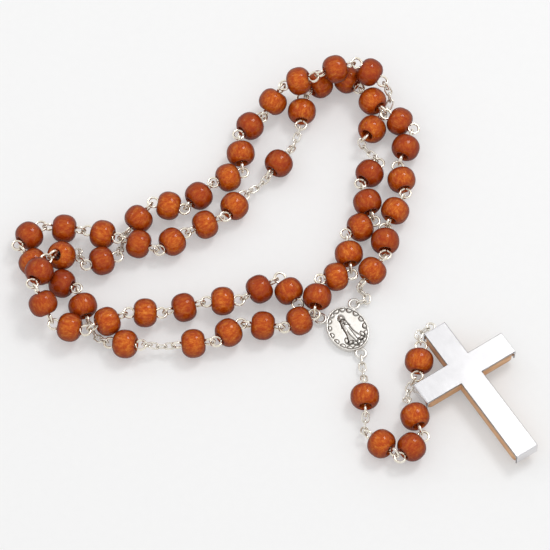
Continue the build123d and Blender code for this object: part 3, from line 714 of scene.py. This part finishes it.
# %% Cut the wood
_, wood_low, wood_high = lie_of("cross_core", cross_lie)
wood_x = (wood_high[0] - wood_low[0]) / 2
shape = flat_cross([-wood_x, -arm, arm, wood_x],
                   [wood_low[1] - crossing_y, -arm, arm, wood_high[1] - crossing_y])
raised = bmesh.ops.extrude_face_region(shape, geom=list(shape.faces))["geom"]
bmesh.ops.translate(shape, vec=(0, 0, wood_high[2] - wood_low[2]), verts=corners_in(raised))
bmesh.ops.recalc_face_normals(shape, faces=shape.faces)
posts = [side for side in shape.edges if abs(side.verts[0].co.z - side.verts[1].co.z) > mm
         and (abs(side.verts[0].co.x) > 2 * arm or abs(side.verts[0].co.y) > 1.5 * arm)]
bmesh.ops.bevel(shape, geom=posts, offset=1.3 * mm, segments=6, profile=0.5, affect="EDGES", material=-1)
rims = [side for side in shape.edges if side.is_manifold and side.calc_face_angle(0) > sharp
        and abs(side.verts[0].co.z - side.verts[1].co.z) < 1e-6]
bmesh.ops.bevel(shape, geom=rims, offset=0.18 * mm, segments=3, profile=0.5, affect="EDGES", material=-1)
bmesh.ops.recalc_face_normals(shape, faces=shape.faces)
on_cross = cross_turn @ Matrix.Translation((crossing_x, crossing_y, wood_low[2]))
bmesh.ops.transform(shape, verts=shape.verts, matrix=on_cross)
print("wood corners:", len(shape.verts))

# %% [markdown]
# ## Oiled wood
#
# The cross is a harder, paler wood than the beads, oiled and not dyed. Its grain runs along the upright and,
# in the crossbar, along the bar. Along the top and the bottom edge of each side the wood is painted dark
# brown, painted shade under the plate and along the underside, which outlines the wood beside the metal.

# %% Cross wood finish
tree, shader, cross_finish = finish("Oiled pale hardwood, sanded")
place = add(tree, "TexCoord").outputs["Object"]
own_way = add(tree, "Mapping", {
    "Vector": place, "Rotation": (0, 0, -math.radians(cross_lie))}).outputs["Vector"]
reach = add(tree, "SeparateXYZ", {"Vector": own_way})
from_middle = add(tree, "Math", {
    0: reach.outputs["X"], 1: float(crossing_x)}, operation="SUBTRACT").outputs[0]
sideways = add(tree, "Math", {0: from_middle}, operation="ABSOLUTE").outputs[0]
upright_edge = 3.01 * mm                    # just outside the upright the bar begins
in_bar = add(tree, "Math", {0: sideways, 1: upright_edge}, operation="GREATER_THAN").outputs[0]
lines = []
for scale in ((1, 0.08, 1), (0.08, 1, 1)):
    drawn = add(tree, "Mapping", {"Vector": own_way, "Scale": scale}).outputs["Vector"]
    lines.append(add(tree, "TexNoise", {
        "Vector": drawn, "Scale": 1 / (0.35 * mm), "Detail": 5, "Roughness": grain_roughness}).outputs["Fac"])
streak = add(tree, "Mix", {0: in_bar, 2: lines[0], 3: lines[1]}, data_type="FLOAT").outputs[0]
pores = add(tree, "TexNoise", {
    "Vector": own_way, "Scale": 1 / (0.15 * mm), "Detail": 2, "Roughness": grain_roughness}).outputs["Fac"]
oiled = add(tree, "ValToRGB", {"Fac": streak}, stops=[
    (0.3, "#C98F60"), (0.75, "#F6D3AC"), (0.52, "#E8B98A")]).outputs["Color"]
in_pore = add(tree, "MapRange", {
    "Value": pores, "From Min": 0.6, "From Max": 0.75, "To Max": 0.35}).outputs["Result"]
oiled = add(tree, "Mix", {0: in_pore, 6: oiled, 7: colour("#A8642F")}, data_type="RGBA").outputs[2]
half_depth = (wood_high[2] - wood_low[2]) / 2
off_middle = add(tree, "Math", {
    0: reach.outputs["Z"], 1: float(wood_low[2] + half_depth)}, operation="SUBTRACT").outputs[0]
near_edge = add(tree, "MapRange", {
    "Value": add(tree, "Math", {0: off_middle}, operation="ABSOLUTE").outputs[0],
    "From Min": float(half_depth - 0.45 * mm), "From Max": float(half_depth - 0.1 * mm), "To Max": 0.75,
}).outputs["Result"]
facing = add(tree, "SeparateXYZ", {"Vector": add(tree, "TexCoord").outputs["Normal"]}).outputs["Z"]
upward = add(tree, "Math", {0: facing}, operation="ABSOLUTE").outputs[0]
on_side = add(tree, "Math", {0: 1.0, 1: upward}, operation="SUBTRACT").outputs[0]
# painted shade: the sides turn dark brown in a band along their top and bottom edges
painted_edge_shade = add(tree, "Math", {0: near_edge, 1: on_side}, operation="MULTIPLY").outputs[0]
darkened = add(tree, "Mix", {0: painted_edge_shade, 6: oiled, 7: colour("#5E2A0E")}, data_type="RGBA").outputs[2]
tree.links.new(darkened, shader.inputs["Base Color"])
bump = add(tree, "Bump", {"Height": streak, "Strength": 0.3, "Distance": 0.03 * mm})
tree.links.new(bump.outputs["Normal"], shader.inputs["Normal"])
shader.inputs["Roughness"].default_value = 0.55
stand_for(piece("cross_wood", shape, cross_finish, smooth=False), "cross_core")
print(cross_finish.name)

# %% [markdown]
# ## The cast figure
#
# On the face of the cross hangs a small cast figure, arms along the bar, head
# bowed, feet together. Its head is a plain smooth form with no features. The body
# is laid out as limbs of round section, each from a joint to the next, in
# millimetres from the crossing, with the wood at height 0.

# %% Lay out the limbs
def limb(shape, first, last, thick, thin):
    """A round limb between two joints, with a ball at both, in millimetres."""
    first, last = Vector(first), Vector(last)
    lie = (last - first).to_track_quat("Z", "Y").to_matrix().to_4x4()
    bmesh.ops.create_cone(shape, cap_ends=True, segments=20, radius1=thick, radius2=thin,
                          depth=(last - first).length,
                          matrix=Matrix.Translation((first + last) / 2) @ lie)
    for at, size in ((first, thick), (last, thin)):
        bmesh.ops.create_uvsphere(shape, u_segments=20, v_segments=12, radius=size,
                                  matrix=Matrix.Translation(at))


shape = bmesh.new()
for side in (-1, 1):
    limb(shape, (side * 1.15, 0.9, 0.85), (side * 4.6, 0.95, 0.62), 0.52, 0.42)   # upper arm
    limb(shape, (side * 4.6, 0.95, 0.62), (side * 7.6, 1.6, 0.5), 0.42, 0.28)     # forearm
    limb(shape, (side * 7.6, 1.6, 0.5), (side * 8.3, 1.72, 0.42), 0.32, 0.40)     # palm
    for k in (-1, 0, 1):                                                           # fingers
        limb(shape, (side * 8.5, 1.72 + 0.18 * k, 0.42), (side * 8.95, 1.76 + 0.3 * k, 0.55), 0.13, 0.09)
    limb(shape, (side * 0.75, 0.55, 1.0), (side * 0.55, -2.6, 0.95), 0.75, 0.52)  # ribs
    limb(shape, (side * 0.62, -4.6, 0.9), (side * 0.62, -8.9, 1.15), 0.78, 0.5)   # thigh
    limb(shape, (side * 0.62, -8.9, 1.15), (side * 0.34, -13.3, 0.62), 0.5, 0.3)  # shin
    limb(shape, (side * 0.32, -13.3, 0.62), (side * 0.22, -15.3, 0.6), 0.34, 0.3)  # foot
limb(shape, (0, 0.2, 0.95), (0, -4.4, 0.9), 0.72, 0.72)                            # spine
limb(shape, (0, 0.8, 0.9), (0.1, 1.75, 1.1), 0.42, 0.38)                           # neck
limb(shape, (0.12, 1.7, 1.15), (0.2, 2.45, 1.12), 0.68, 0.72)                      # head
limb(shape, (0.2, 2.3, 0.8), (0.1, 1.2, 0.6), 0.78, 0.5)                           # hair
limb(shape, (-1.15, -3.9, 0.85), (1.15, -4.1, 0.9), 0.7, 0.7)                      # cloth round the hips
limb(shape, (-0.9, -4.6, 0.9), (0.9, -5.6, 1.1), 0.66, 0.6)
limb(shape, (1.15, -4.1, 0.9), (1.5, -6.4, 0.6), 0.5, 0.25)                        # its hanging end
print("corners in the limbs:", len(shape.verts))

# %% [markdown]
# ## Melting the limbs together
#
# The limbs are melted into one skin and smoothed, the way wax is before casting. A
# cut leaves the back flat where it lies against the wood. The cross lies on its
# face, so the figure is turned over too, and its depth is scaled to the frame's.

# %% Melt and place the figure
soft = piece("figure_wax", shape, cast_finish)
soft.modifiers.new("melt", "REMESH").mode = "VOXEL"
soft.modifiers["melt"].voxel_size = 0.09
rub = soft.modifiers.new("rub", "SMOOTH")
rub.factor, rub.iterations = 0.5, 4
bpy.context.view_layer.update()
shape = bmesh.new()
shape.from_mesh(bpy.data.meshes.new_from_object(soft.evaluated_get(bpy.context.evaluated_depsgraph_get())))
bpy.data.objects.remove(soft)
cut = bmesh.ops.bisect_plane(shape, geom=[*shape.verts, *shape.edges, *shape.faces], dist=1e-5,
                             plane_co=(0, 0, 0), plane_no=(0, 0, -1), clear_outer=True)["geom_cut"]
bmesh.ops.holes_fill(shape, edges=[g for g in cut if isinstance(g, bmesh.types.BMEdge)])
deepest = max(corner.co.z for corner in shape.verts)
figure_low, figure_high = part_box("cross_figure")
depth = (figure_high.z - figure_low.z) / mm
for corner in shape.verts:                  # turned face down, and scaled to the frame's depth
    corner.co = Vector((corner.co.x, corner.co.y, -corner.co.z * depth / deepest)) * mm
bmesh.ops.recalc_face_normals(shape, faces=shape.faces)
on_cross = cross_turn @ Matrix.Translation((crossing_x, crossing_y, figure_high.z))
bmesh.ops.transform(shape, verts=shape.verts, matrix=on_cross)
print("figure triangles:", len(shape.faces) * 2, "depth", round(depth, 2), "mm")
stand_for(piece("cross_figure_cast", shape, cast_finish), "cross_figure")
for name in ("cross_nails", "cross_plaque"):
    refinish(name, cast_finish)

# %% [markdown]
# ## The table
#
# The rosary lies on a plain pale sheet. To the camera, and in reflections, the sheet
# glows a little, so its shadows stay pale; Light Path keeps that glow out of the
# light that falls on matt surfaces.

# %% Lay the table
low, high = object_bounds()
middle = (Vector(low) + Vector(high)) / 2
shape = bmesh.new()
bmesh.ops.create_grid(shape, x_segments=1, y_segments=1, size=3)
tree, shader, board = finish("Opal acrylic sheet, matt")
haze = add(tree, "TexNoise", {
    "Vector": add(tree, "TexCoord").outputs["Object"], "Scale": 1 / (2 * mm), "Detail": 2,
    "Roughness": grain_roughness}).outputs["Fac"]
pale = add(tree, "ValToRGB", {"Fac": haze}, stops=[(0.0, "#CBCBCB"), (1.0, "#CECECE")]).outputs["Color"]
tree.links.new(pale, shader.inputs["Base Color"])
shader.inputs["Roughness"].default_value = 0.9
shader.inputs["Specular IOR Level"].default_value = 0.2
shader.inputs["Emission Color"].default_value = (1, 1, 1, 1)
ray = add(tree, "LightPath").outputs
seen = add(tree, "Math", {0: ray["Is Camera Ray"], 1: ray["Is Glossy Ray"]}, operation="MAXIMUM").outputs[0]
seen = add(tree, "Math", {0: seen, 1: ray["Is Transmission Ray"]}, operation="MAXIMUM").outputs[0]
floor_glow = 0.28                           # of full white, added where the floor is seen
glow = add(tree, "Math", {0: seen, 1: floor_glow}, operation="MULTIPLY").outputs[0]
tree.links.new(glow, shader.inputs["Emission Strength"])
bmesh.ops.translate(shape, vec=(0, 0, low[2] - 0.02 * mm), verts=shape.verts)
floor = piece("floor", shape, board)
print(board.name, "laid as", floor.name)

# %% [markdown]
# ## The light
#
# One square softbox hangs high up, behind and to the right, with a weaker one to the
# left, inside an evenly lit white room. The first is what puts a small square spark
# on each lacquered bead.

# %% Hang the lamps
def softbox(name, toward, distance, side, watts):
    """A square lamp in that direction from the rosary, facing it."""
    lamp = bpy.data.lights.new(name, "AREA")
    lamp.shape, lamp.size, lamp.energy = "SQUARE", side, watts
    made = bpy.data.objects.new(name, lamp)
    bpy.context.scene.collection.objects.link(made)
    away = Vector(toward).normalized()
    made.location = Vector((middle.x, middle.y, 0)) + away * distance
    made.rotation_euler = away.to_track_quat("Z", "Y").to_euler()


# an area lamp of side s and power P has radiance P / (pi s^2)
softbox("key_softbox", (0.36, 0.37, 0.86), 0.9, 0.25, 2.1)
softbox("side_softbox", (-0.66, 0.41, 0.63), 1.0, 0.16, 0.3)
world = bpy.data.worlds.new("white room")
bpy.context.scene.world = world
world.use_nodes = True
room = world.node_tree.nodes["Background"].inputs
room["Color"].default_value = (1, 1, 1, 1)
room["Strength"].default_value = 0.83

# %% [markdown]
# ## The view
#
# The camera looks down at 62 degrees. It stands well back, 0.88 m away, with a
# narrow view, so the near and the far beads come out almost the same size.

# %% Camera
lens = bpy.data.cameras.new("camera")
camera = bpy.data.objects.new("camera", lens)
bpy.context.scene.collection.objects.link(camera)
aim = Vector((middle.x + 1.1 * mm, middle.y - 2.6 * mm, 0))
down = math.radians(62)
away = 0.88                                 # metres from the rosary to the camera
camera.location = aim + away * Vector((0, -math.cos(down), math.sin(down)))
camera.rotation_euler = (aim - camera.location).to_track_quat("-Z", "Y").to_euler()
lens.angle = math.radians(8.67)
lens.clip_start, lens.clip_end = 0.01, 20
bpy.context.scene.camera = camera
bpy.context.scene.view_settings.view_transform = "Standard"
print("camera at", tuple(round(v, 3) for v in camera.location))
